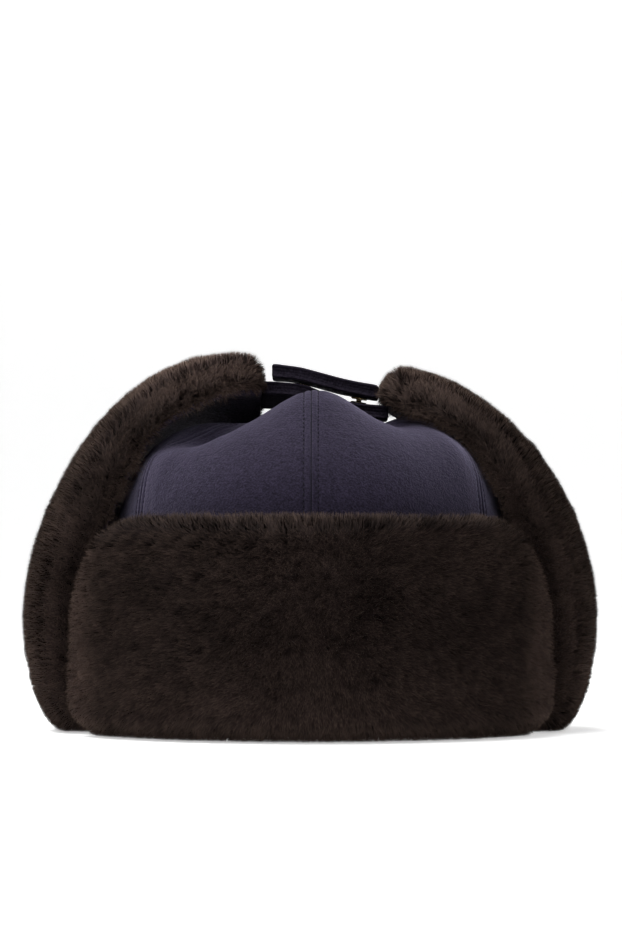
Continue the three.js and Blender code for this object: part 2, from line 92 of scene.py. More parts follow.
class Signal:
    """An output in a node tree. Python's operators on it add the Math or Vector Math nodes."""

    def __init__(self, graph, socket):
        self.graph = graph
        self.socket = socket

    @staticmethod
    def _is_vector(value):
        if isinstance(value, Signal):
            return value.socket.type in ("VECTOR", "RGBA")
        return isinstance(value, (tuple, Vector))

    def _join(self, operation, first, second):
        vectors = [value for value in (first, second) if Signal._is_vector(value)]
        if operation == "MULTIPLY" and len(vectors) == 1:
            factor = second if vectors[0] is first else first
            return self.graph.vector("SCALE", vectors[0], scale=factor)
        if vectors:
            return self.graph.vector(operation, first, second)
        return self.graph.math(operation, first, second)

    def __add__(self, other):
        return self._join("ADD", self, other)

    def __radd__(self, other):
        return self._join("ADD", other, self)

    def __sub__(self, other):
        return self._join("SUBTRACT", self, other)

    def __rsub__(self, other):
        return self._join("SUBTRACT", other, self)

    def __mul__(self, other):
        return self._join("MULTIPLY", self, other)

    def __rmul__(self, other):
        return self._join("MULTIPLY", other, self)

    def __truediv__(self, other):
        return self._join("DIVIDE", self, other)

    def __rtruediv__(self, other):
        return self._join("DIVIDE", other, self)

    def between(self, start, end, low=0.0, high=1.0):
        """This number mapped from start..end to low..high, and held within them."""
        inputs = {"Value": self, "From Min": start, "From Max": end, "To Min": low, "To Max": high}
        return self.graph.add("ShaderNodeMapRange", {"clamp": True}, inputs)


def pick(sockets, key):
    """A node's socket by number, or the first one in use that has the name."""
    if isinstance(key, int):
        return sockets[key]
    return next(s for s in sockets if s.name == key and s.enabled)


class Graph:
    """A node tree that grows by one node at a time."""

    def __init__(self, tree):
        self.tree = tree

    def place(self, kind, settings=None, inputs=None):
        """A new node: its settings first, then the numbers or links of its sockets."""
        node = self.tree.nodes.new(kind)
        for name, value in (settings or {}).items():
            if name == "stops":
                set_stops(node.color_ramp, value)
            else:
                setattr(node, name, value)
        for key, value in (inputs or {}).items():
            socket = pick(node.inputs, key)
            if isinstance(value, Signal):
                self.tree.links.new(value.socket, socket)
            else:
                socket.default_value = value
        return node

    def add(self, kind, settings=None, inputs=None, output=None):
        """A new node's output: the named one, or the first in use."""
        node = self.place(kind, settings, inputs)
        in_use = (socket for socket in node.outputs if socket.enabled)
        return Signal(self, next(in_use) if output is None else pick(node.outputs, output))

    def math(self, operation, first, second):
        return self.add("ShaderNodeMath", {"operation": operation}, {0: first, 1: second})

    def vector(self, operation, first, second=None, scale=None):
        inputs = {0: first, 1: second, "Scale": scale}
        given = {key: value for key, value in inputs.items() if value is not None}
        return self.add("ShaderNodeVectorMath", {"operation": operation}, given)

    def mix(self, factor, first, second, blend="MIX"):
        settings = {"data_type": "RGBA", "blend_type": blend}
        return self.add("ShaderNodeMix", settings, {"Factor": factor, "A": first, "B": second})

    def noise(self, place, size, detail=2.0, roughness=0.5, output="Fac"):
        inputs = {"Vector": place, "Scale": 1 / size, "Detail": detail, "Roughness": roughness}
        return self.add("ShaderNodeTexNoise", None, inputs, output)


def set_stops(ramp, stops):
    while len(ramp.elements) < len(stops):
        ramp.elements.new(1.0)
    for element, (position, colour) in zip(ramp.elements, stops):
        element.position = position
        element.color = colour


def opaque(colour, factor=1.0):
    """A colour, darker or paler by a factor, as the sockets take it."""
    return (*(c * factor for c in tuple(colour)[:3]), 1.0)


# Finishes

class Finish(Graph):
    """A material with one shader, whose even numbers are set on the shader's own sockets."""

    def __init__(self, name, sockets):
        self.material = bpy.data.materials.new(name)
        self.material.use_nodes = True
        self.material.node_tree.nodes.clear()
        super().__init__(self.material.node_tree)
        self.shader = self.place("ShaderNodeBsdfPrincipled", None, sockets)
        output = self.place("ShaderNodeOutputMaterial")
        self.tree.links.new(self.shader.outputs[0], output.inputs[0])

    def object_place(self):
        return self.add("ShaderNodeTexCoord", None, None, "Object")

    def bump(self, distance, height):
        inputs = {"Strength": 0.8, "Distance": distance, "Height": height}
        return self.add("ShaderNodeBump", None, inputs)

    def worn(self, varying):
        """The material, with what changes over its surface linked to the shader."""
        for socket, signal in varying.items():
            self.tree.links.new(signal.socket, self.shader.inputs[socket])
        return self.material


def wool_finish(name, colour, sheen):
    """Melton wool: a felted nap with paler fibres, cloudy shading and a soft sheen."""
    wool = Finish(name, {
        "Sheen Weight": sheen,
        "Sheen Roughness": 0.5,
        "Sheen Tint": opaque((0.5, 0.46, 0.66)),
        "Specular IOR Level": 0.03,
    })
    grain = 0.0009
    place = wool.object_place()
    warp = wool.noise(place, 0.004, 1.0, output="Color") * 0.0012
    fibres = wool.noise(place + warp, grain, 3.0, 0.65)
    tufts = wool.noise(place, grain * 3.5, 2.0)
    clouds = wool.noise(place, 0.03, 3.0)
    tone = fibres.between(0.36, 0.66) * 0.75 + tufts.between(0.3, 0.7) * 0.15
    tone = tone + clouds.between(0.3, 0.7) * 0.1
    return wool.worn({
        "Base Color": wool.mix(tone, opaque(colour, 0.25), opaque(colour, 1.9)),
        "Roughness": tone.between(0.0, 1.0, 0.98, 0.82),
        "Normal": wool.bump(0.0005, fibres + tufts * 0.6),
    })


def thread_finish(name):
    """Twisted sewing thread, a little smoother than the wool."""
    thread = Finish(name, {"Specular IOR Level": 0.05})
    twist = thread.noise(thread.object_place(), 0.0005, 1.0)
    return thread.worn({
        "Base Color": thread.mix(twist, opaque(THREAD_COLOUR, 0.6), opaque(THREAD_COLOUR, 1.3)),
        "Roughness": twist.between(0.2, 0.8, 0.5, 0.75),
    })


def underfur_finish(name, colour):
    """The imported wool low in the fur, nearly black between the hairs."""
    underfur = Finish(name, {"Specular IOR Level": 0.1})
    tufts = underfur.noise(underfur.object_place(), 0.0016, 3.0, 0.6)
    return underfur.worn({
        "Base Color": underfur.mix(tufts.between(0.3, 0.7), opaque(colour, 0.6), opaque(colour)),
        "Roughness": tufts.between(0.0, 1.0, 0.9, 1.0),
        "Normal": underfur.bump(0.001, tufts),
    })


def hair_finish(name, root, middle, tip):
    """Fur hair: dark low down, paler at the tip, each hair and lock in its own tone."""
    hair = Finish(name, {"Specular IOR Level": 0.04})
    reach = hair.add("ShaderNodeAttribute", {"attribute_name": "reach"}, None, "Fac")
    tone = hair.add("ShaderNodeAttribute", {"attribute_name": "tone"}, None, "Fac")
    stops = [
        (0.0, opaque(root)),
        (0.35, opaque(middle, 0.75)),
        (0.65, opaque(middle)),
        (1.0, opaque(tip)),
    ]
    along = hair.add("ShaderNodeValToRGB", {"stops": stops}, {"Fac": reach}, "Color")
    toned = hair.mix(tone, opaque((0.3, 0.3, 0.3)), opaque((3.3, 3.25, 3.15)))
    return hair.worn({
        "Base Color": hair.mix(1.0, along, toned, "MULTIPLY"),
        "Roughness": tone.between(0.0, 1.0, 0.8, 0.6),
    })


def brass_finish(name):
    """Brass with fine handling marks."""
    brass = Finish(name, {"Metallic": 1.0})
    marks = brass.noise(brass.object_place(), 0.0007, 3.0, 0.6)
    return brass.worn({
        "Base Color": brass.mix(marks, opaque((0.12, 0.08, 0.04)), opaque((0.5, 0.36, 0.17))),
        "Roughness": marks.between(0.3, 0.7, 0.16, 0.36),
    })


def once(name, make, *arguments):
    """A material by its name, made the first time it is asked for."""
    return bpy.data.materials.get(name) or make(name, *arguments)


# Meshes

def ramp(values, start, width):
    """0 up to a start, 1 from one width beyond it, and even between. A width under 0 falls."""
    return np.clip((values - start) / width, 0, 1)


def joined_copy(node):
    """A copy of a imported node's mesh, its loose triangles joined into faces of four sides."""
    mesh = bmesh.new()
    mesh.from_mesh(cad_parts[node].data)
    bmesh.ops.remove_doubles(mesh, verts=mesh.verts, dist=MERGE_DISTANCE)
    bmesh.ops.join_triangles(
        mesh, faces=mesh.faces, angle_face_threshold=SHARP, angle_shape_threshold=math.pi
    )
    mesh.normal_update()
    return mesh


def new_piece(name, data, finish, slot, *nodes):
    """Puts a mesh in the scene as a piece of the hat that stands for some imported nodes."""
    piece = in_scene(data, name)
    if finish is not None:
        data.materials.clear()
        data.materials.append(finish)
    data.shade_smooth()
    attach(piece, "root")
    if nodes:
        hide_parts(*nodes)


def evaluated_mesh(holder, name):
    """What an object's modifiers make of it, as a plain mesh. The object itself goes."""
    bpy.context.view_layer.update()
    depsgraph = bpy.context.evaluated_depsgraph_get()
    data = bpy.data.meshes.new_from_object(holder.evaluated_get(depsgraph), depsgraph=depsgraph)
    data.name = name
    bpy.data.objects.remove(holder)
    return data


def in_scene(data, name="holder"):
    """A new object for a mesh, a light or a camera."""
    item = bpy.data.objects.new(name, data)
    bpy.context.scene.collection.objects.link(item)
    return item


def column(items, field, width=1, kind=float):
    """One field of all items of a mesh, a row for each item."""
    found = np.empty(len(items) * width, kind)
    items.foreach_get(field, found)
    return found.reshape(-1, width) if width > 1 else found


def points_of(data):
    return column(data.vertices, "co", 3)


def normals_of(data):
    return column(data.vertex_normals, "vector", 3, np.float32).astype(float)


def add_column(data, name, values):
    """A named number or vector for each vertex of a mesh."""
    values = np.asarray(values, np.float32)
    kind, field = ("FLOAT", "value") if values.ndim == 1 else ("FLOAT_VECTOR", "vector")
    attribute = data.attributes.new(name, kind, "POINT")
    attribute.data.foreach_set(field, values.ravel())


def set_points(data, points):
    data.vertices.foreach_set("co", points.astype(np.float32).ravel())
    data.update()


def evaluated_points(holder):
    """Where an object's modifiers put its points."""
    bpy.context.view_layer.update()
    seen = holder.evaluated_get(bpy.context.evaluated_depsgraph_get())
    found = points_of(seen.to_mesh())
    seen.to_mesh_clear()
    return found


def softened(node, levels=2, crease=0.55, fits=4):
    """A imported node's mesh rounded out and its sharp edges eased, with its corners kept in place."""
    mesh = joined_copy(node)
    layer = mesh.edges.layers.float.get("crease_edge") or mesh.edges.layers.float.new("crease_edge")
    for edge in mesh.edges:
        if len(edge.link_faces) == 2 and edge.calc_face_angle() > SHARP:
            edge[layer] = crease
    data = bpy.data.meshes.new(node + "_soft")
    mesh.to_mesh(data)
    mesh.free()
    aim = points_of(data)
    holder = in_scene(data)
    rounding = holder.modifiers.new("Rounding", "SUBSURF")
    rounding.levels = levels
    rounding.render_levels = levels
    for _ in range(fits):
        reached = evaluated_points(holder)[: len(aim)]
        set_points(data, points_of(data) + 0.8 * (aim - reached))
    return evaluated_mesh(holder, node + "_soft")


def grid_faces(rows, columns):
    """The faces of four sides between a grid's points."""
    corner = np.arange(rows * columns).reshape(rows, columns)
    quads = [corner[:-1, :-1], corner[:-1, 1:], corner[1:, 1:], corner[1:, :-1]]
    return np.stack(quads, -1).reshape(-1, 4)


# The crown

class CrownForm:
    """The crown's smooth outer form, as a distance from a point inside it in any direction."""

    def __init__(self, settings):
        self.middle = Vector((0, 0, settings.middle_height))
        meshes = {name: joined_copy("crown_gore_" + name) for name in GORES}
        self.tree = self._outer_faces(meshes)
        self.rise = np.radians(np.arange(-30, 91, 1.0))
        self.turn = np.radians(np.arange(0, 360, 1.0))
        sampled = self._sampled()
        even = self._smooth(sampled)
        self.reach = self._calm_top(even + self._smooth(sampled - even))
        self.rails = {name: self._rails(mesh) for name, mesh in meshes.items()}
        self.floor = min(v.co.z for mesh in meshes.values() for v in mesh.verts)
        for mesh in meshes.values():
            mesh.free()

    def _outer_faces(self, meshes):
        points = []
        faces = []
        for mesh in meshes.values():
            for face in self.outer(mesh):
                faces.append(range(len(points), len(points) + len(face.verts)))
                points.extend(v.co.copy() for v in face.verts)
        return BVHTree.FromPolygons(points, [tuple(f) for f in faces])

    def outer(self, mesh):
        """The faces of a gore that look away from the middle, up to its sharp edges."""
        def looks_out(face):
            away = (face.calc_center_median() - self.middle).normalized()
            return face.normal.dot(away) > 0.3
        return [face for face in mesh.faces if looks_out(face)]

    def _cast(self, rise, turn):
        flat = math.cos(rise)
        direction = Vector((flat * math.cos(turn), flat * math.sin(turn), math.sin(rise)))
        return self.tree.ray_cast(self.middle, direction)[3]

    def _sampled(self):
        """The distance each way. A ray that slips through a seam's gap takes its neighbours' mean."""
        beside = np.radians(0.4)
        found = np.full((len(self.rise), len(self.turn)), np.nan)
        for i, rise in enumerate(self.rise):
            for j, turn in enumerate(self.turn):
                tries = [self._cast(rise, turn)]
                if tries[0] is None:
                    tries = [self._cast(rise, turn + side * beside) for side in (-1, 1)]
                hits = [t for t in tries if t is not None]
                if hits:
                    found[i, j] = sum(hits) / len(hits)
        for j in range(len(self.turn)):
            column = found[:, j]
            known = ~np.isnan(column)
            found[:, j] = np.interp(self.rise, self.rise[known], column[known])
        found[-1] = found[-1].mean()
        return found

    @staticmethod
    def _smooth(values, passes=3):
        """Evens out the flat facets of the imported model."""
        for _ in range(passes):
            turned = (np.roll(values, 1, 1) + 2 * values + np.roll(values, -1, 1)) / 4
            padded = np.vstack([turned[:1], turned, turned[-1:]])
            values = (padded[:-2] + 2 * padded[1:-1] + padded[2:]) / 4
        values[-1] = values[-1].mean()
        return values

    def _calm_top(self, reach):
        """Lets the gores meet on one slope at the top, fitted to a ring of samples below it."""
        ring = len(self.rise) - 11
        rise = self.rise[ring:, None]
        height = reach[ring:] * np.sin(rise)
        side = np.cos(self.turn)
        ahead = np.sin(self.turn)
        middle = height[0].mean()
        slope = 2 * np.array([(height[0] * side).mean(), (height[0] * ahead).mean()])
        slope /= (reach[ring] * math.cos(self.rise[ring])).mean()
        lean = slope[0] * side + slope[1] * ahead
        plane = middle * np.sin(rise) / (np.sin(rise) - lean * np.cos(rise))
        share = ramp(rise, rise[0], math.radians(5))
        share = share * share * (3 - 2 * share)
        calm = reach.copy()
        calm[ring:] = (height * (1 - share) + plane * share) / np.sin(rise)
        return calm

    def _rails(self, mesh):
        """The turn of a gore's two seams at each rise, taken from its outer edges."""
        outer = set(self.outer(mesh))
        rim = [e for e in mesh.edges if sum(f in outer for f in e.link_faces) == 1]
        seen = {v for e in rim for v in e.verts}
        places = np.array([v.co - self.middle for v in seen])
        middle = math.atan2(*reversed(np.mean([f.calc_center_median().xy for f in outer], axis=0)))
        across = np.hypot(places[:, 0], places[:, 1])
        rise = np.arctan2(places[:, 2], across)
        turn = np.arctan2(places[:, 1], places[:, 0]) - middle
        turn = (turn + math.pi) % (2 * math.pi) - math.pi
        lowest = places[:, 2] < places[:, 2].min() + 5e-4
        ends = across < 0.004
        rails = []
        for side in (-1, 1):
            own = (turn * side > 0) & ~lowest & ~ends
            last = max(np.flatnonzero(lowest), key=lambda i: turn[i] * side)
            own[last] = True
            order = np.argsort(rise[own])
            rails.append((rise[own][order], turn[own][order] + middle))
        return rails

    def distance(self, rise, turn):
        """The form's distance, between its samples."""
        step = self.turn[1] - self.turn[0]
        high = np.interp(rise, self.rise, np.arange(len(self.rise)))
        i = np.clip(high.astype(int), 0, len(self.rise) - 2)
        along = (np.asarray(turn) % (2 * math.pi)) / step
        j = along.astype(int) % len(self.turn)
        u = high - i
        v = along - along.astype(int)
        after = (j + 1) % len(self.turn)
        low = self.reach[i, j] * (1 - v) + self.reach[i, after] * v
        top = self.reach[i + 1, j] * (1 - v) + self.reach[i + 1, after] * v
        return low * (1 - u) + top * u

    def point(self, rise, turn):
        """The form's point each way."""
        reach = self.distance(rise, turn)
        flat = reach * np.cos(rise)
        height = self.middle.z + reach * np.sin(rise)
        return np.stack([flat * np.cos(turn), flat * np.sin(turn), height], -1)

    def lowest_rise(self, turn):
        """The rise at which the form reaches the crown's lower edge, for each turn."""
        found = []
        for t in np.atleast_1d(turn):
            reach = self.distance(self.rise, np.full(len(self.rise), t))
            heights = self.middle.z + reach * np.sin(self.rise)
            found.append(np.interp(self.floor, heights[:60], self.rise[:60]))
        return np.array(found)

    def seam_turn(self, gore, side, rise):
        """The turn of a gore's seam at a rise."""
        return np.interp(rise, *self.rails[gore][side])

    def seam_rises(self, gore, side, top, count):
        """Even steps of rise along a seam, from the crown's lower edge up."""
        low = self.lowest_rise(self.seam_turn(gore, side, SEAM_FOOT_RISE))[0]
        return np.linspace(low, top, count)


def gore_columns(width, settings):
    """Places across a gore of a given width: close together at both seams, the others even."""
    shares = (0.0, 0.07, 0.16, 0.28, 0.45, 0.62, 0.8, 0.9, 1.0, 1.1, 1.2, 1.45, 1.9)
    near = np.array(shares) * settings.stitch_offset
    near = near * min(1.0, 0.47 * width / near[-1])
    between = np.linspace(near[-1], width - near[-1], settings.columns + 2)[1:-1]
    return np.concatenate([near, between, (width - near)[::-1]])


def dent(distance, middle, width):
    """1 at one distance, and falling off to 0 on both sides of it."""
    return np.exp(-(((distance - middle) / width) ** 2))


def seam_profile(distance, settings):
    """How the cloth stands off its form near a seam: turned in at the seam, full beside it, and
    drawn in again by the topstitching."""
    line = settings.stitch_offset
    dip = -settings.seam_depth * dent(distance, 0.0, 0.17 * line)
    full = settings.welt * dent(distance, 0.45 * line, 0.33 * line)
    pull = -settings.stitch_depth * dent(distance, line, 0.17 * line)
    return dip + full + pull


def wave(values, seed):
    """A smooth, uneven wave between about -1 and 1."""
    draw = np.random.default_rng(seed)
    total = np.zeros_like(values)
    for k in range(1, 6):
        total += np.sin(values * k * draw.uniform(0.7, 1.4) + draw.uniform(0, 2 * math.pi)) / k
    return total / 1.6


def gore_mesh(form, gore, settings):
    """One gore: a grid of points from its lower edge to the top, its sides turned into the seams."""
    points = []
    distances = []
    for share in np.linspace(0, 1, settings.rows):
        guess = math.radians(-16) * (1 - share) + settings.top_rise * share
        low = form.lowest_rise([form.seam_turn(gore, side, guess) for side in (0, 1)])
        rises = low * (1 - share) + settings.top_rise * share
        start, end = (form.seam_turn(gore, side, rises[side]) for side in (0, 1))
        across = form.distance(rises.mean(), (start + end) / 2) * math.cos(rises.mean())
        width = max(across * (end - start), 1e-5)
        columns = gore_columns(width, settings)
        gap = 0.5 * settings.seam_gap * (1 + share) / across
        turns = start - gap + (end - start + 2 * gap) * columns / width
        row_rise = form.lowest_rise(turns) * (1 - share) + settings.top_rise * share
        points.append(form.point(row_rise, turns))
        distances.append(np.minimum(columns, width - columns))
    points = np.array(points)
    distances = np.array(distances)
    rows, columns = distances.shape
    data = bpy.data.meshes.new("gore_" + gore)
    data.from_pydata(points.reshape(-1, 3).tolist(), [], grid_faces(rows, columns).tolist())
    data.update()
    normals = normals_of(data).reshape(rows, columns, 3)
    away = points - np.array(form.middle)
    if np.sum(normals * away) < 0:
        data.flip_normals()
        normals = -normals
    height = np.linspace(0, 1, rows)[:, None]
    # The seams at the sides flatten over the shoulder, those in the hat's middle don't.
    aside = ramp(np.abs(points[..., 0]), 0.015, 0.015)
    calm = 1 - settings.seam_fade * ramp(height, 0.5, 0.15) * aside
    pucker = wave(height * 55 + distances * 150, 3) * settings.pucker
    near_seam = dent(distances, 0.0, 2.6 * settings.stitch_offset)
    offset = seam_profile(distances, settings) * calm + pucker * near_seam
    set_points(data, (points + normals * offset[..., None]).reshape(-1, 3))
    return data


def dressed_gore(form, gore, settings):
    """A gore with its wall."""
    holder = in_scene(gore_mesh(form, gore, settings))
    wall = holder.modifiers.new("Wall", "SOLIDIFY")
    wall.thickness = settings.wall
    wall.offset = -1.0
    wall.use_even_offset = False
    wall.use_quality_normals = True
    return evaluated_mesh(holder, "crown_panel_" + gore)


def stitch_lines(form, settings):
    """The topstitching beside each seam: for each line its points and the way out at each."""
    lines = []
    for gore in GORES:
        for side, inward in ((0, 1), (1, -1)):
            rise = form.seam_rises(gore, side, settings.stitch_top_rise, 160)
            turn = form.seam_turn(gore, side, rise)
            across = form.distance(rise, turn) * np.cos(rise)
            turn = turn + inward * settings.stitch_offset / across
            points = form.point(rise, turn)
            step = 1e-3
            east = (form.point(rise, turn + step) - points) / step
            north = (form.point(rise + step, turn) - points) / step
            out = evenly_long(np.cross(east, north))
            lines.append((points - out * settings.stitch_depth * 0.9, out))
    return lines


def tubes(name, lines):
    """Closed tubes in one mesh. Each is given as rings, which have the same number of points."""
    points = []
    faces = []
    for rings in lines:
        corner = np.arange(rings.shape[0] * rings.shape[1]).reshape(rings.shape[:2]) + len(points)
        after = np.roll(corner, -1, axis=1)
        quads = np.stack([corner[:-1], after[:-1], after[1:], corner[1:]], -1)
        faces.extend(quads.reshape(-1, 4).tolist())
        faces.extend([corner[0].tolist(), corner[-1].tolist()])
        points.extend(rings.reshape(-1, 3).tolist())
    data = bpy.data.meshes.new(name)
    data.from_pydata(points, [], faces)
    mesh = bmesh.new()
    mesh.from_mesh(data)
    bmesh.ops.recalc_face_normals(mesh, faces=mesh.faces)
    mesh.to_mesh(data)
    mesh.free()
    return data


def seam_shade_mesh(form, settings):
    """Painted shade along each seam's ditch: a thin dark square tube sunk in the seam, in the thread's
    finish.
    """
    lines = []
    for gore in GORES:
        rise = form.seam_rises(gore, 0, settings.stitch_top_rise, 120)
        line = form.point(rise, form.seam_turn(gore, 0, rise))
        along = evenly_long(np.gradient(line, axis=0))
        out = evenly_long(along_surface(evenly_long(line - np.array(form.middle)), along))
        beside = np.cross(along, out)
        line = line - out * settings.seam_depth * 0.6
        sides = [line + settings.seam_shade_radius * side for side in (beside, out, -beside, -out)]
        lines.append(np.stack(sides, 1))
    return tubes("crown_seam_thread", lines)


def stitch_template(length, radius):
    """One stitch: a flattened thread that dips into the cloth at both ends, along X."""
    turn = np.radians(np.arange(0, 360, 60))
    half = [(0.0, 0.35, 1.0), (0.3, 0.15, 0.95), (0.5, -0.9, 0.45)]
    rings = []
    for share, lift, size in [(-place, *rest) for place, *rest in half[:0:-1]] + half:
        side = np.cos(turn) * radius * size
        up = (np.sin(turn) * 0.75 * size + lift) * radius
        rings.append(np.stack([np.full(len(turn), share * length), side, up], -1))
    return tubes("stitch", [np.array(rings)])


# Geometry Nodes

def new_geometry_tree(name, sockets):
    """A geometry tree with named inputs, given as (name, kind, default)."""
    tree = bpy.data.node_groups.new(name, "GeometryNodeTree")
    tree.interface.new_socket("Geometry", in_out="INPUT", socket_type="NodeSocketGeometry")
    for label, kind, default in sockets:
        socket = tree.interface.new_socket(label, in_out="INPUT", socket_type="NodeSocket" + kind)
        if default is not None:
            socket.default_value = default
    tree.interface.new_socket("Geometry", in_out="OUTPUT", socket_type="NodeSocketGeometry")
    graph = Graph(tree)
    entry = tree.nodes.new("NodeGroupInput")
    given = {socket.name: Signal(graph, socket) for socket in entry.outputs if socket.name}
    return graph, given


def end_tree(graph, geometry, material):
    """Every tree ends in real geometry that wears its material."""
    real = graph.add("GeometryNodeRealizeInstances", None, {"Geometry": geometry})
    return graph.add("GeometryNodeSetMaterial", None, {"Geometry": real, "Material": material})


def close_tree(graph, geometry):
    leave = graph.tree.nodes.new("NodeGroupOutput")
    graph.tree.links.new(geometry.socket, leave.inputs[0])
    return graph.tree


def grown(data, tree, values, name):
    """The mesh that a geometry tree makes of another mesh, with its inputs set."""
    holder = in_scene(data)
    modifier = holder.modifiers.new("Nodes", "NODES")
    modifier.node_group = tree
    for item in tree.interface.items_tree:
        if item.in_out == "INPUT" and item.name in values:
            modifier[item.identifier] = values[item.name]
    return evaluated_mesh(holder, name)


def stored(graph, geometry, name, value, kind="FLOAT", domain="POINT"):
    settings = {"data_type": kind, "domain": domain}
    inputs = {"Geometry": geometry, "Name": name, "Value": value}
    return graph.add("GeometryNodeStoreNamedAttribute", settings, inputs)


def named(graph, name, kind="FLOAT"):
    return graph.add("GeometryNodeInputNamedAttribute", {"data_type": kind}, {"Name": name}, "Attribute")


def random_vector(graph, seed):
    inputs = {"Min": (-1, -1, -1), "Max": (1, 1, 1), "Seed": seed}
    return graph.add("FunctionNodeRandomValue", {"data_type": "FLOAT_VECTOR"}, inputs)


def random_number(graph, seed, low, high):
    inputs = {"Min": low, "Max": high, "Seed": seed}
    return graph.add("FunctionNodeRandomValue", {"data_type": "FLOAT"}, inputs)


def stitching_tree():
    """Stitches laid end to end along every line of a mesh of edges."""
    graph, given = new_geometry_tree("Stitching", [
        ("Stitch", "Object", None),
        ("Pitch", "Float", 0.003),
        ("Unevenness", "Float", 0.06),
        ("Seed", "Int", 1),
        ("Thread", "Material", None),
    ])
    curves = graph.add("GeometryNodeMeshToCurve", None, {"Mesh": given["Geometry"]})
    settings = {"mode": "LENGTH"}
    even = graph.add("GeometryNodeResampleCurve", settings, {"Curve": curves, "Length": given["Pitch"]})
    tangent = graph.add("GeometryNodeInputTangent")
    out = named(graph, "out", "FLOAT_VECTOR")
    along = tangent + random_vector(graph, given["Seed"]) * given["Unevenness"]
    settings = {"primary_axis": "X", "secondary_axis": "Z"}
    inputs = {"Primary Axis": along, "Secondary Axis": out}
    turn = graph.add("FunctionNodeAxesToRotation", settings, inputs)
    thread = graph.add("GeometryNodeObjectInfo", None, {"Object": given["Stitch"]}, "Geometry")
    inputs = {"Points": even, "Instance": thread, "Rotation": turn}
    placed = graph.add("GeometryNodeInstanceOnPoints", None, inputs)
    return close_tree(graph, end_tree(graph, placed, given["Thread"]))


def line_mesh(lines, name):
    """A mesh of edges for the given lines, each vertex with its way out."""
    points = np.concatenate([p for p, _ in lines])
    outs = np.concatenate([o for _, o in lines])
    edges = []
    start = 0
    for p, _ in lines:
        edges.extend((start + k, start + k + 1) for k in range(len(p) - 1))
        start += len(p)
    data = bpy.data.meshes.new(name)
    data.from_pydata(points.tolist(), edges, [])
    add_column(data, "out", outs)
    return data


def sewn(lines, pitch, length, radius, name, seed):
    """The mesh of a row of stitches along each line."""
    template = in_scene(stitch_template(length, radius), "stitch")
    tree = stitching_tree()
    values = {"Stitch": template, "Pitch": pitch, "Seed": seed, "Thread": once("Thread", thread_finish)}
    data = grown(line_mesh(lines, name), tree, values, name)
    bpy.data.objects.remove(template)
    bpy.data.node_groups.remove(tree)
    return data


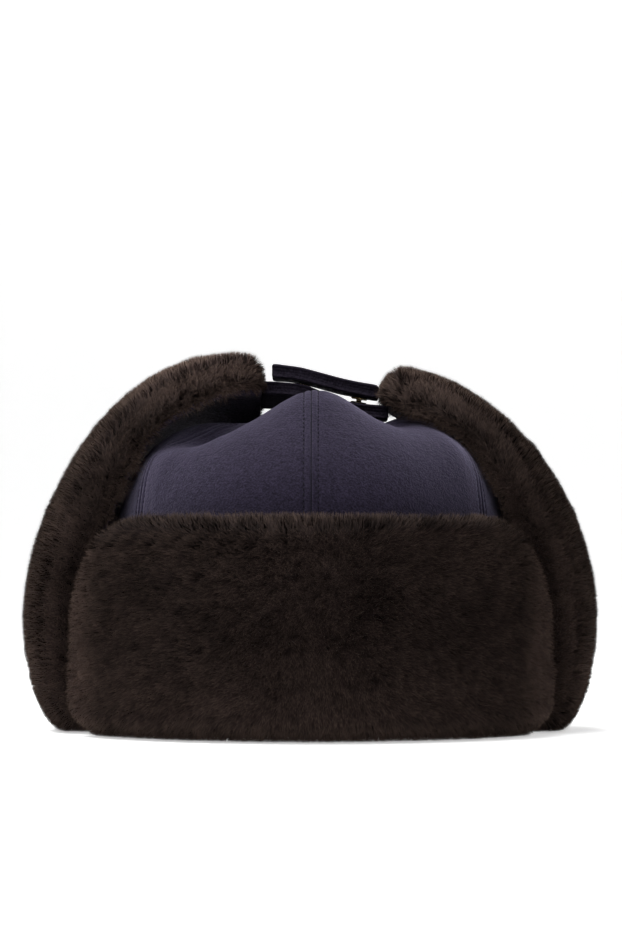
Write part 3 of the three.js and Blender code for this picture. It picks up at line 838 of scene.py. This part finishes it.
def pile_tree():
    """Hairs that stand on a mesh, combed, ruffled, drawn together in locks and cut to a length."""
    graph, given = new_geometry_tree("Pile", [
        ("Hair", "Object", None),
        ("Hairs per Area", "Float", 1e6),
        ("Length", "Float", 0.01),
        ("Width", "Float", 0.0003),
        ("Lock Size", "Float", 0.0025),
        ("Lock Pull", "Float", 0.5),
        ("Ruffle Size", "Float", 0.0055),
        ("Ruffle", "Float", 0.4),
        ("Scatter", "Float", 0.36),
        ("Unevenness", "Float", 0.3),
        ("Floor", "Float", 0.0),
        ("Seed", "Int", 1),
        ("Finish", "Material", None),
    ])
    inputs = {
        "Mesh": given["Geometry"],
        "Density": given["Hairs per Area"] * named(graph, "cover"),
        "Seed": given["Seed"],
    }
    settings = {"distribute_method": "RANDOM"}
    scattered = graph.place("GeometryNodeDistributePointsOnFaces", settings, inputs)
    points = Signal(graph, pick(scattered.outputs, "Points"))
    normal = Signal(graph, pick(scattered.outputs, "Normal"))
    spot = graph.add("GeometryNodeInputPosition")

    per_lock = 1.0 / given["Lock Size"]
    inputs = {"Vector": spot, "Scale": per_lock, "Randomness": 1.0}
    cell = graph.place("ShaderNodeTexVoronoi", None, inputs)
    centre, lock_colour, lock_distance = (
        Signal(graph, pick(cell.outputs, name)) for name in ("Position", "Color", "Distance")
    )
    inward = (centre - spot) * per_lock
    per_ruffle = 1.0 / given["Ruffle Size"]
    inputs = {"Vector": spot, "Scale": per_ruffle, "Detail": 2.0, "Roughness": 0.55}
    swirl = graph.add("ShaderNodeTexNoise", None, inputs, "Color")
    drift = graph.noise(spot + (0.2, 0.6, 0.4), 0.03, 1.0, output="Color")
    ruffled = (swirl + drift - (1.0, 1.0, 1.0)) * (given["Ruffle"] * 2.0)
    draw = random_vector(graph, given["Seed"])
    lean = normal + named(graph, "comb", "FLOAT_VECTOR") + inward * given["Lock Pull"] + ruffled
    settings = {"primary_axis": "Z", "secondary_axis": "X"}
    inputs = {"Primary Axis": lean + draw * given["Scatter"], "Secondary Axis": normal}
    turn = graph.add("FunctionNodeAxesToRotation", settings, inputs)
    roll = random_number(graph, given["Seed"] + 7.0, -0.6, 0.6)
    spin = graph.add("FunctionNodeAxisAngleToRotation", None, {"Axis": (0, 0, 1), "Angle": roll})
    inputs = {"Rotation": turn, "Rotate By": spin}
    turn = graph.add("FunctionNodeRotateRotation", {"rotation_space": "LOCAL"}, inputs)

    chance = random_number(graph, given["Seed"] + 13.0, 0.0, 1.0)
    crest = lock_distance.between(0.15, 0.75, 1.0, 0.0)
    swell = graph.noise(spot + (0.3, 0.1, 0.7), 0.007, 1.0) - 0.5
    height = chance * 0.16 + crest * 0.06 + 0.82 + swell * given["Unevenness"] * 2.0
    length = given["Length"] * named(graph, "tall") * height
    thin = given["Width"] * (chance * 0.5 + 0.75)
    size = graph.add("ShaderNodeCombineXYZ", None, {0: length, 1: thin, 2: length})
    clouds = graph.noise(spot, 0.02, 2.0).between(0.3, 0.7)
    patches = graph.noise(spot + (0.5, 0.9, 0.2), 0.0035, 2.0).between(0.3, 0.7)
    lock_tone = graph.add("ShaderNodeSeparateXYZ", None, {0: lock_colour}, "X")
    # The pale attribute makes each hair's tone paler or darker: painted light and shade.
    tone = chance * 0.16 + lock_tone * 0.1 + clouds * 0.1 + patches * 0.14 + named(graph, "pale")
    toned = stored(graph, points, "tone", tone.between(0.0, 1.0))
    facing = normal + ruffled * 0.9 + inward * 0.3 + draw * 0.12
    toned = stored(graph, toned, "facing", facing, "FLOAT_VECTOR")
    hair = graph.add("GeometryNodeObjectInfo", None, {"Object": given["Hair"]}, "Geometry")
    inputs = {"Points": toned, "Instance": hair, "Rotation": turn, "Scale": size}
    placed = graph.add("GeometryNodeInstanceOnPoints", None, inputs)
    real = end_tree(graph, placed, given["Finish"])
    apart = graph.place("ShaderNodeSeparateXYZ", None, {0: graph.add("GeometryNodeInputPosition")})
    x, y, z = (Signal(graph, apart.outputs[k]) for k in range(3))
    held = graph.math("MAXIMUM", z, given["Floor"])
    pressed = graph.add("ShaderNodeCombineXYZ", None, {0: x, 1: y, 2: held})
    laid = graph.add("GeometryNodeSetPosition", None, {"Geometry": real, "Position": pressed})
    across = named(graph, "tone") * 0.94 + named(graph, "side") * 0.05
    spread = graph.add("ShaderNodeCombineXYZ", None, {0: across, 1: named(graph, "reach")})
    mapped = stored(graph, laid, "OFBake", spread, "FLOAT2", "CORNER")
    return close_tree(graph, mapped)


def hair_template():
    """One hair, a flat blade one wide and one long that stands on Z and faces X."""
    data = bpy.data.meshes.new("hair")
    data.from_pydata([(0, -0.5, 0), (0, 0.5, 0), (0, 0, 1)], [], [(0, 1, 2)])
    add_column(data, "reach", (0, 0, 1))
    add_column(data, "side", (0, 1, 0.5))
    data.shade_smooth()
    return data


# Fur

def fur_core(node, cloth, depth):
    """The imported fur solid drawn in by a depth, less where it is thin and not where it lies on its
    cloth. Returns the mesh, how much of the depth each vertex took and how far off the cloth it is."""
    data = softened(node, crease=0.0)
    points = points_of(data)
    normals = normals_of(data)
    lining = joined_copy(cloth)
    cloth_tree = BVHTree.FromBMesh(lining)
    lining.free()
    own = BVHTree.FromPolygons(points.tolist(), [tuple(p.vertices) for p in data.polygons])
    share = np.ones(len(points))
    off = np.zeros(len(points))
    outward = np.zeros((len(points), 3))
    for k, (point, normal) in enumerate(zip(map(Vector, points), map(Vector, normals))):
        near, _, _, off[k] = cloth_tree.find_nearest(point)
        outward[k] = (point - near).normalized()
        thickness = own.ray_cast(point - normal * UNDER_SURFACE, -normal)[3]
        if thickness is not None:
            share[k] = min(1.0, PILE_SHARE * max(thickness, off[k]) / depth)
        if off[k] < NEAR_CLOTH and (near - point).normalized().dot(normal) > TOWARDS_CLOTH:
            share[k] = 0.0
    share = evened(data, share, 3)
    face = ramp(off, FACE_OFF_CLOTH, 0.001)
    level = evened(data, off, 60, face > 0)
    rise = level - off
    rise = np.where(rise > 0, rise, BUMPS_LOWERED * rise)
    points = points + outward * (face * rise)[:, None]
    set_points(data, points)
    set_points(data, points - normals_of(data) * (depth * share)[:, None])
    even = in_scene(data)
    smooth = even.modifiers.new("Even", "SMOOTH")
    smooth.factor = 0.5
    smooth.iterations = 24
    return evaluated_mesh(even, node + "_core"), share, off


def evened(data, values, passes, within=None):
    """Vertex values averaged with their neighbours', or only among the vertices within a mask."""
    edges = column(data.edges, "vertices", 2, np.int64)
    if within is not None:
        edges = edges[within[edges].all(axis=1)]
    a, b = edges.T
    for _ in range(passes):
        total = values.copy()
        count = np.ones(len(values))
        np.add.at(total, a, values[b])
        np.add.at(total, b, values[a])
        np.add.at(count, a, 1)
        np.add.at(count, b, 1)
        values = total / count
    return values


# The front flap's fur: at a place across and up the flap, as shares of its half width and its
# height, how far the hair leans to the right and upwards, and its painted light: how much paler
# or darker the hair is painted where light or shade falls on the flap.
FRONT_PILE = [
    {"across": -1.0, "up": 1.0, "right": -0.35, "rise": -0.1, "pale": -0.06},
    {"across": -1.0, "up": 0.6, "right": -0.35, "rise": -0.45, "pale": -0.1},
    {"across": -1.0, "up": 0.1, "right": -0.3, "rise": -0.6, "pale": -0.05},
    {"across": -0.6, "up": 1.0, "right": -0.25, "rise": 0.05, "pale": -0.05},
    {"across": -0.6, "up": 0.6, "right": -0.42, "rise": -0.3, "pale": -0.19},
    {"across": -0.6, "up": 0.1, "right": -0.35, "rise": -0.5, "pale": -0.03},
    {"across": -0.1, "up": 1.0, "right": -0.1, "rise": 0.05, "pale": 0.0},
    {"across": -0.1, "up": 0.6, "right": -0.12, "rise": -0.3, "pale": -0.05},
    {"across": 0.0, "up": 0.1, "right": -0.05, "rise": -0.5, "pale": 0.03},
    {"across": 0.6, "up": 1.0, "right": 0.3, "rise": 0.05, "pale": -0.04},
    {"across": 0.6, "up": 0.55, "right": 0.42, "rise": -0.38, "pale": -0.17},
    {"across": 0.6, "up": 0.1, "right": 0.35, "rise": -0.5, "pale": -0.04},
    {"across": 1.0, "up": 1.0, "right": 0.35, "rise": -0.1, "pale": -0.05},
    {"across": 1.0, "up": 0.6, "right": 0.35, "rise": -0.45, "pale": -0.08},
    {"across": 1.0, "up": 0.1, "right": 0.3, "rise": -0.6, "pale": -0.05},
]


def by_table(table, columns, points, box):
    """A table's columns at each point, blended from its rows' places."""
    low, high = box
    across = 2 * (points[:, 0] - low.x) / (high.x - low.x) - 1
    up = (points[:, 2] - low.z) / (high.z - low.z)
    total = np.zeros((len(points), len(columns)))
    weights = np.full(len(points), 1e-9)
    for row in table:
        gap = (across - row["across"]) ** 2 + (0.9 * (up - row["up"])) ** 2
        weight = np.exp(-gap / 0.06)
        total += weight[:, None] * np.array([row[name] for name in columns])
        weights += weight
    return total / weights[:, None]


def combed_round(side, normals):
    """On an ear flap the hair leans up from the fold and over to the flap's end."""
    turned = np.cross(np.array([0.0, 1.0, 0.0]), normals) * (1 if side == "left" else -1)
    return evenly_long(along_surface(turned, normals)) * HAIR_LEAN


def edge_share(normals, off):
    """From 0 on an ear flap's fur to 1 at its front edge beside the cloth."""
    return ramp(normals[:, 1], -0.3, -0.35) * ramp(off, 0.0085, -0.0045)


def spilled(comb, spill, points):
    """Turns the hair beside a flap's cloth inward, so that it falls over the cloth's edge."""
    outward = points * (1.0, 0.0, 1.0) - (0.0, 0.0, SPILL_HEIGHT)
    return comb * (1 - spill[:, None]) - evenly_long(outward) * spill[:, None]


def combed_down(points, normals):
    """On the neck flap the hair leans down, and outward at its sides."""
    out = np.stack([points[:, 0] * 6, np.zeros(len(points)), np.full(len(points), -0.7)], -1)
    return evenly_long(along_surface(out, normals)) * HAIR_LEAN


def ends_share(points, box):
    """From 0 over most of the front flap to 1 at its two side ends."""
    low, high = box
    across = np.abs(points[:, 0] - (low.x + high.x) / 2) / ((high.x - low.x) / 2)
    return ramp(across, 0.81, 0.09)


def front_painted_light(points, box):
    """Painted light on the front flap's hair: paler or darker by the table where light or shade falls,
    and paler at its two ends.
    """
    return by_table(FRONT_PILE, ("pale",), points, box)[:, 0] + 0.3 * ends_share(points, box)


def end_painted_light(painted_top_light, points, box):
    """Painted light on an ear flap's hair: paler towards the flap's top end over the crown, where light
    from above falls on it. It is also paler low on the flap's outside.
    """
    low, high = box
    up = (points[:, 2] - low.z) / (high.z - low.z)
    out = np.abs(points[:, 0]) / max(abs(low.x), abs(high.x))
    rim = ramp(up, 0.42, -0.25) * ramp(out, 0.8, 0.14)
    return painted_top_light * ramp(up, 0.8, 0.15) + 0.2 * rim


def painted_light_nowhere(points, box):
    return np.zeros(len(points))


def short_ends(points, box):
    """Shorter hair at the front flap's two side ends, where it stands outward."""
    return 1.0 - 0.3 * ends_share(points, box)


def long_nowhere(points, box):
    return np.ones(len(points))


def along_surface(directions, normals):
    """The part of each direction that runs along the surface."""
    return directions - normals * np.sum(directions * normals, axis=1)[:, None]


def evenly_long(directions):
    """The same directions with a length of one."""
    return directions / np.maximum(np.linalg.norm(directions, axis=1), 1e-6)[:, None]


def furred(node, cloth, comb, settings, look):
    """The fur of one flap as two pieces: its underfur and the pile that stands on it."""
    core, share, off = fur_core(node, cloth, settings.depth)
    points = points_of(core)
    normals = normals_of(core)
    spill = edge_share(normals, off) if look["spills"] else np.zeros(len(points))
    over_cloth = 1.3 * ramp(points[:, 2], SHORT_SPILL, LONG_SPILL - SHORT_SPILL) - 0.4
    tall = (0.3 + 0.7 * share) * (1 + over_cloth * spill)
    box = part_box(node)
    guides = {
        "comb": spilled(comb(points, normals, box), spill, points),
        "cover": np.clip(share * 3.0 - 0.3, 0, 1),
        "tall": tall * look["tall"](points, box),
        # Painted light and shade for the hair's tone.
        "pale": look["pale"](points, box),
    }
    for name, amounts in guides.items():
        add_column(core, name, amounts)
    template = in_scene(hair_template(), "hair")
    values = {
        "Hair": template,
        "Hairs per Area": look["hairs"] / pile_area(core),
        "Length": look["length"],
        "Width": settings.hair_width,
        "Lock Size": look["lock"],
        "Lock Pull": look["pull"],
        "Ruffle": look["ruffle"],
        "Scatter": look["scatter"],
        "Unevenness": settings.unevenness,
        "Floor": HAIR_FLOOR,
        "Seed": look["seed"],
        "Finish": once("Fur hair", hair_finish, *look["colours"]),
    }
    tree = pile_tree()
    hairs = grown(core.copy(), tree, values, node.replace("_fur", "_pile"))
    bpy.data.objects.remove(template)
    bpy.data.node_groups.remove(tree)
    face_with_skin(hairs)
    for name in guides:
        core.attributes.remove(core.attributes[name])
    underfur = once("Underfur", underfur_finish, settings.hair_colour)
    new_piece(node.replace("_fur", "_underfur"), core, underfur, "fur", node)
    new_piece(node.replace("_fur", "_pile"), hairs, None, "fur", node)


def face_with_skin(hairs):
    """Lights the hairs like the surface they make together, not like single flat blades."""
    facing = evenly_long(column(hairs.attributes["facing"].data, "vector", 3, np.float32))
    hairs.attributes.remove(hairs.attributes["facing"])
    hairs.shade_smooth()
    hairs.normals_split_custom_set_from_vertices(facing)


def pile_area(core):
    """The area that hair covers."""
    cover = column(core.attributes["cover"].data, "value", 1, np.float32)
    return sum(p.area * float(cover[list(p.vertices)].mean()) for p in core.polygons)


# Settings

def number_property(name, default, description, unit="NONE"):
    return bpy.props.FloatProperty(name=name, default=default, description=description, unit=unit)


def length_property(name, default, description):
    return number_property(name, default, description, "LENGTH")


def colour_property(name, default, description):
    return bpy.props.FloatVectorProperty(
        name=name, default=default, description=description, subtype="COLOR", size=3, min=0.0, max=1.0
    )


class HatCrownSettings(bpy.types.PropertyGroup):
    """Sizes and colour of the crown."""

    wall: length_property("Wall", 0.0027, "Thickness of the crown's wool")
    middle_height: length_property("Middle", 0.03, "Height that the crown's form is measured from")
    seam_gap: length_property("Seam closing", 0.0003, "How much of a seam's gap the cloth closes")
    seam_depth: length_property("Seam depth", 0.0006, "How far the cloth turns in at a seam")
    stitch_offset: length_property("Stitch offset", 0.003, "Distance of the topstitching from its seam")
    stitch_depth: length_property("Stitch depth", 0.00035, "How far the topstitching draws the cloth in")
    welt: length_property("Welt", 0.00008, "How far the cloth stands up between seam and stitching")
    pucker: length_property("Pucker", 0.00012, "Unevenness of the cloth along its seams")
    seam_fade: number_property("Seam fade", 0.7, "How much the side seams flatten over the shoulder")
    stitch_pitch: length_property("Stitch pitch", 0.0025, "Distance from one stitch to the next")
    stitch_length: length_property("Stitch length", 0.0018, "Length of a stitch")
    # Radius of the dark tube that paints the shade in each seam's ditch.
    seam_shade_radius: length_property("Seam shade", 0.00024, "Radius of the thread in the seams")
    thread_radius: length_property("Thread radius", 0.00027, "Radius of the sewing thread")
    top_rise: number_property("Top rise", math.radians(89.3), "Rise at which the gores meet", "ROTATION")
    stitch_top_rise: number_property(
        "Stitch top", math.radians(84.5), "Rise at which the stitching ends", "ROTATION"
    )
    rows: bpy.props.IntProperty(name="Rows", default=84, description="Rows of points up a gore")
    columns: bpy.props.IntProperty(name="Columns", default=22, description="Even columns across a gore")
    colour: colour_property("Wool", (0.0105, 0.0082, 0.016), "Colour of the crown's wool")
    shade_colour: colour_property("Flap wool", (0.021, 0.0165, 0.027), "Colour of the flaps' inner wool")


class HatFurSettings(bpy.types.PropertyGroup):
    """Sizes and colours of the fur."""

    depth: length_property("Depth", 0.005, "Depth of loose pile over the underfur")
    hair_width: length_property("Hair width", 0.00042, "Width of a hair at its root")
    unevenness: number_property("Unevenness", 0.16, "How unevenly the pile is cut")
    hair_colour: colour_property("Hair", (0.0163, 0.0107, 0.0098), "Colour of the hair half way up")
    root_colour: colour_property("Root", (0.0105, 0.007, 0.006), "Colour of the fur at its root")
    tip_colour: colour_property("Tip", (0.060, 0.042, 0.034), "Colour of the hair tips")


class HatStageSettings(bpy.types.PropertyGroup):
    """The camera and the light."""

    camera_distance: length_property("Camera distance", 1.7, "Distance of the camera from the hat")
    camera_height: length_property("Camera height", 0.085, "Height of the camera above the floor")
    aim_height: length_property("Aim height", 0.1192, "Height that the camera looks at")
    lens: number_property("Lens", 146.4, "Focal length in millimetres")
    world: number_property("Surround", 0.16, "Light from all round")
    glow: number_property("Sweep glow", 0.56, "Light that the white sweep gives off")
    top_light: number_property("Top light", 29.0, "Power of the light above, in watts")
    left_light: number_property("Left light", 1.5, "Power of the light on the left")
    front_light: number_property("Front light", 18.0, "Power of the light high in front")
    right_light: number_property("Right light", 2.0, "Power of the light on the right")


# Operators

class HAT_OT_crown(bpy.types.Operator):
    """Make the crown's six gores"""

    bl_idname = "hat.crown"
    bl_label = "Crown gores"

    def execute(self, context):
        settings = context.scene.hat_crown
        wool = once("Crown wool", wool_finish, settings.colour, 0.3)
        form = CrownForm(settings)
        for gore in GORES:
            data = dressed_gore(form, gore, settings)
            new_piece("crown_panel_" + gore, data, wool, "wool", "crown_gore_" + gore)
        data = sewn(
            stitch_lines(form, settings), settings.stitch_pitch, settings.stitch_length,
            settings.thread_radius, "crown_topstitching", 11,
        )
        new_piece("crown_topstitching", data, None, "wool")
        # A dark tube in the thread's finish paints the shade in each seam's ditch.
        thread = once("Thread", thread_finish)
        new_piece("crown_seam_thread", seam_shade_mesh(form, settings), thread, "wool")
        return {"FINISHED"}


class HAT_OT_flap_cloth(bpy.types.Operator):
    """Make the wool inner sides of the four flaps"""

    bl_idname = "hat.flap_cloth"
    bl_label = "Flap cloth"

    def execute(self, context):
        settings = context.scene.hat_crown
        wool = once("Flap wool", wool_finish, settings.shade_colour, 0.0)
        for flap in ("front_flap", "ear_flap_left", "ear_flap_right", "neck_flap"):
            new_piece(flap + "_wool", softened(flap + "_cloth"), wool, "flap_wool", flap + "_cloth")
        return {"FINISHED"}


class HAT_OT_front_fur(bpy.types.Operator):
    """Make the fur of the front flap"""

    bl_idname = "hat.front_fur"
    bl_label = "Front flap fur"

    def execute(self, context):
        settings = context.scene.hat_fur
        look = fur_look(
            settings, hairs=180000, length=0.007, lock=0.003, pull=0.26, ruffle=0.36, scatter=0.4,
            pale=front_painted_light, tall=short_ends, spills=False, seed=3,
        )

        def comb(points, normals, box):
            right, rise = by_table(FRONT_PILE, ("right", "rise"), points, box).T
            return along_surface(np.stack([right, np.zeros(len(points)), rise], -1), normals)

        furred("front_flap_fur", "front_flap_cloth", comb, settings, look)
        return {"FINISHED"}


class HAT_OT_ear_fur(bpy.types.Operator):
    """Make the fur of both ear flaps"""

    bl_idname = "hat.ear_fur"
    bl_label = "Ear flap fur"

    def execute(self, context):
        settings = context.scene.hat_fur
        # The left flap's top end gets more painted light than the right one's.
        for number, (side, painted_top_light) in enumerate(zip(SIDES, (0.5, 0.26))):
            def pale(points, box, painted_top_light=painted_top_light):
                return end_painted_light(painted_top_light, points, box)

            look = fur_look(
                settings, hairs=180000, length=0.0066, lock=0.003, pull=0.22, ruffle=0.34, scatter=0.52,
                pale=pale, tall=long_nowhere, spills=True, seed=20 + number,
            )

            def comb(points, normals, box, side=side):
                return combed_round(side, normals)

            node = "ear_flap_" + side
            furred(node + "_fur", node + "_cloth", comb, settings, look)
        return {"FINISHED"}


class HAT_OT_neck_fur(bpy.types.Operator):
    """Make the fur of the neck flap"""

    bl_idname = "hat.neck_fur"
    bl_label = "Neck flap fur"

    def execute(self, context):
        settings = context.scene.hat_fur
        look = fur_look(
            settings, hairs=140000, length=0.0065, lock=0.0036, pull=0.22, ruffle=0.3, scatter=0.42,
            pale=painted_light_nowhere, tall=long_nowhere, spills=False, seed=41,
        )

        def comb(points, normals, box):
            return combed_down(points, normals)

        furred("neck_flap_fur", "neck_flap_cloth", comb, settings, look)
        return {"FINISHED"}


def fur_look(settings, **values):
    """How the fur of a flap looks: the colours that all share, and its own values."""
    colours = [tuple(c) for c in (settings.root_colour, settings.hair_colour, settings.tip_colour)]
    return {"colours": colours, **values}


class HAT_OT_tabs(bpy.types.Operator):
    """Make the two tabs"""

    bl_idname = "hat.tabs"
    bl_label = "Tabs"

    def execute(self, context):
        wool = once("Tab wool", wool_finish, TAB_COLOUR, 0.0)
        for place, reach in (("lower", 0.0012), ("upper", 0.0)):
            data = softened("tab_" + place, crease=0.2)
            points = points_of(data)
            points[:, 0] -= reach * ramp(points[:, 0], points[:, 0].min() + TAB_END, -TAB_END)
            set_points(data, points)
            new_piece("tab_" + place + "_wool", data, wool, "tab_wool", "tab_" + place)
        return {"FINISHED"}


class HAT_OT_studs(bpy.types.Operator):
    """Finish the press studs"""

    bl_idname = "hat.studs"
    bl_label = "Press studs"

    def execute(self, context):
        brass = once("Brass", brass_finish)
        for side in SIDES:
            for half in ("ball", "socket"):
                node = f"press_stud_{half}_{side}"
                new_piece(node + "_brass", softened(node, levels=1, crease=0.8), brass, "brass", node)
        return {"FINISHED"}


class HAT_OT_stage(bpy.types.Operator):
    """Set up the floor, the light and the camera"""

    bl_idname = "hat.stage"
    bl_label = "Stage"

    def execute(self, context):
        settings = context.scene.hat_stage
        make_floor(settings.glow)
        make_light(context.scene, settings)
        make_camera(context.scene, settings)
        return {"FINISHED"}


def make_floor(glow):
    """A white sweep, evenly lit: a floor that turns up behind the hat."""
    width, front, back, radius, height = 8.0, -3.0, 3.8, 0.9, 4.0
    profile = [(front, 0.0), (back - radius, 0.0)]
    steps = 16
    for k in range(1, steps + 1):
        angle = math.pi / 2 * k / steps
        profile.append((back - radius + radius * math.sin(angle), radius - radius * math.cos(angle)))
    profile.append((back, height))
    points = [(x, y, z) for x in (-width / 2, width / 2) for y, z in profile]
    count = len(profile)
    faces = [(k, k + count, k + count + 1, k + 1) for k in range(count - 1)]
    data = bpy.data.meshes.new("floor")
    data.from_pydata(points, [], faces)
    data.shade_smooth()
    sweep = Finish("Floor", {
        "Base Color": opaque((0.9, 0.9, 0.9)),
        "Roughness": 0.9,
        "Specular IOR Level": 0.1,
        "Emission Color": opaque((1.0, 1.0, 1.0)),
        "Emission Strength": glow,
    })
    data.materials.append(sweep.material)
    in_scene(data, "floor")


def turn_to(item, place, height):
    """Puts a light or the camera in its place, turned to a height over the hat's middle."""
    item.location = place
    item.rotation_mode = "QUATERNION"
    item.rotation_quaternion = (Vector((0, 0, height)) - item.location).to_track_quat("-Z", "Y")


def make_light(scene, settings):
    world = bpy.data.worlds.new("Surround")
    world.use_nodes = True
    background = world.node_tree.nodes["Background"]
    background.inputs["Color"].default_value = opaque((1.0, 1.0, 1.0))
    background.inputs["Strength"].default_value = settings.world
    scene.world = world
    lamps = [
        {"name": "top", "size": 0.9, "power": settings.top_light, "place": (-0.35, 0.05, 1.3)},
        {"name": "front", "size": 1.0, "power": settings.front_light, "place": (-0.4, -1.35, 1.25)},
        {"name": "left", "size": 0.9, "power": settings.left_light, "place": (-1.3, -1.2, 0.7)},
        {"name": "right", "size": 0.9, "power": settings.right_light, "place": (1.3, -1.2, 0.7)},
    ]
    for row in lamps:
        light = bpy.data.lights.new(row["name"], "AREA")
        light.shape = "SQUARE"
        light.size = row["size"]
        light.energy = row["power"]
        turn_to(in_scene(light, row["name"]), row["place"], LIT_HEIGHT)
    scene.view_settings.view_transform = "Standard"
    scene.view_settings.look = "None"
    scene.view_settings.exposure = 0.0
    scene.view_settings.gamma = 1.0


def make_camera(scene, settings):
    data = bpy.data.cameras.new("camera")
    data.lens = settings.lens
    data.sensor_width = 36.0
    data.clip_start = 0.05
    data.clip_end = 20.0
    camera = in_scene(data, "camera")
    turn_to(camera, (0.0, -settings.camera_distance, settings.camera_height), settings.aim_height)
    scene.camera = camera


class HAT_PT_panel(bpy.types.Panel):
    """Lists the steps that make the hat"""

    bl_idname = "HAT_PT_panel"
    bl_label = "Hat"
    bl_space_type = "VIEW_3D"
    bl_region_type = "UI"
    bl_category = "Hat"

    def draw(self, context):
        for operator in OPERATORS:
            self.layout.operator(operator.bl_idname)


SETTINGS = {"hat_crown": HatCrownSettings, "hat_fur": HatFurSettings, "hat_stage": HatStageSettings}
OPERATORS = (
    HAT_OT_crown,
    HAT_OT_flap_cloth,
    HAT_OT_front_fur,
    HAT_OT_ear_fur,
    HAT_OT_neck_fur,
    HAT_OT_tabs,
    HAT_OT_studs,
    HAT_OT_stage,
)


def register():
    for item in (*SETTINGS.values(), *OPERATORS, HAT_PT_panel):
        bpy.utils.register_class(item)
    for name, group in SETTINGS.items():
        setattr(bpy.types.Scene, name, bpy.props.PointerProperty(type=group))


def unregister():
    for name in SETTINGS:
        delattr(bpy.types.Scene, name)
    for item in reversed((*SETTINGS.values(), *OPERATORS, HAT_PT_panel)):
        bpy.utils.unregister_class(item)


def main():
    register()
    bpy.ops.hat.crown()
    bpy.ops.hat.flap_cloth()
    bpy.ops.hat.front_fur()
    bpy.ops.hat.ear_fur()
    bpy.ops.hat.neck_fur()
    bpy.ops.hat.tabs()
    bpy.ops.hat.studs()
    bpy.ops.hat.stage()


if __name__ == "__main__":
    main()
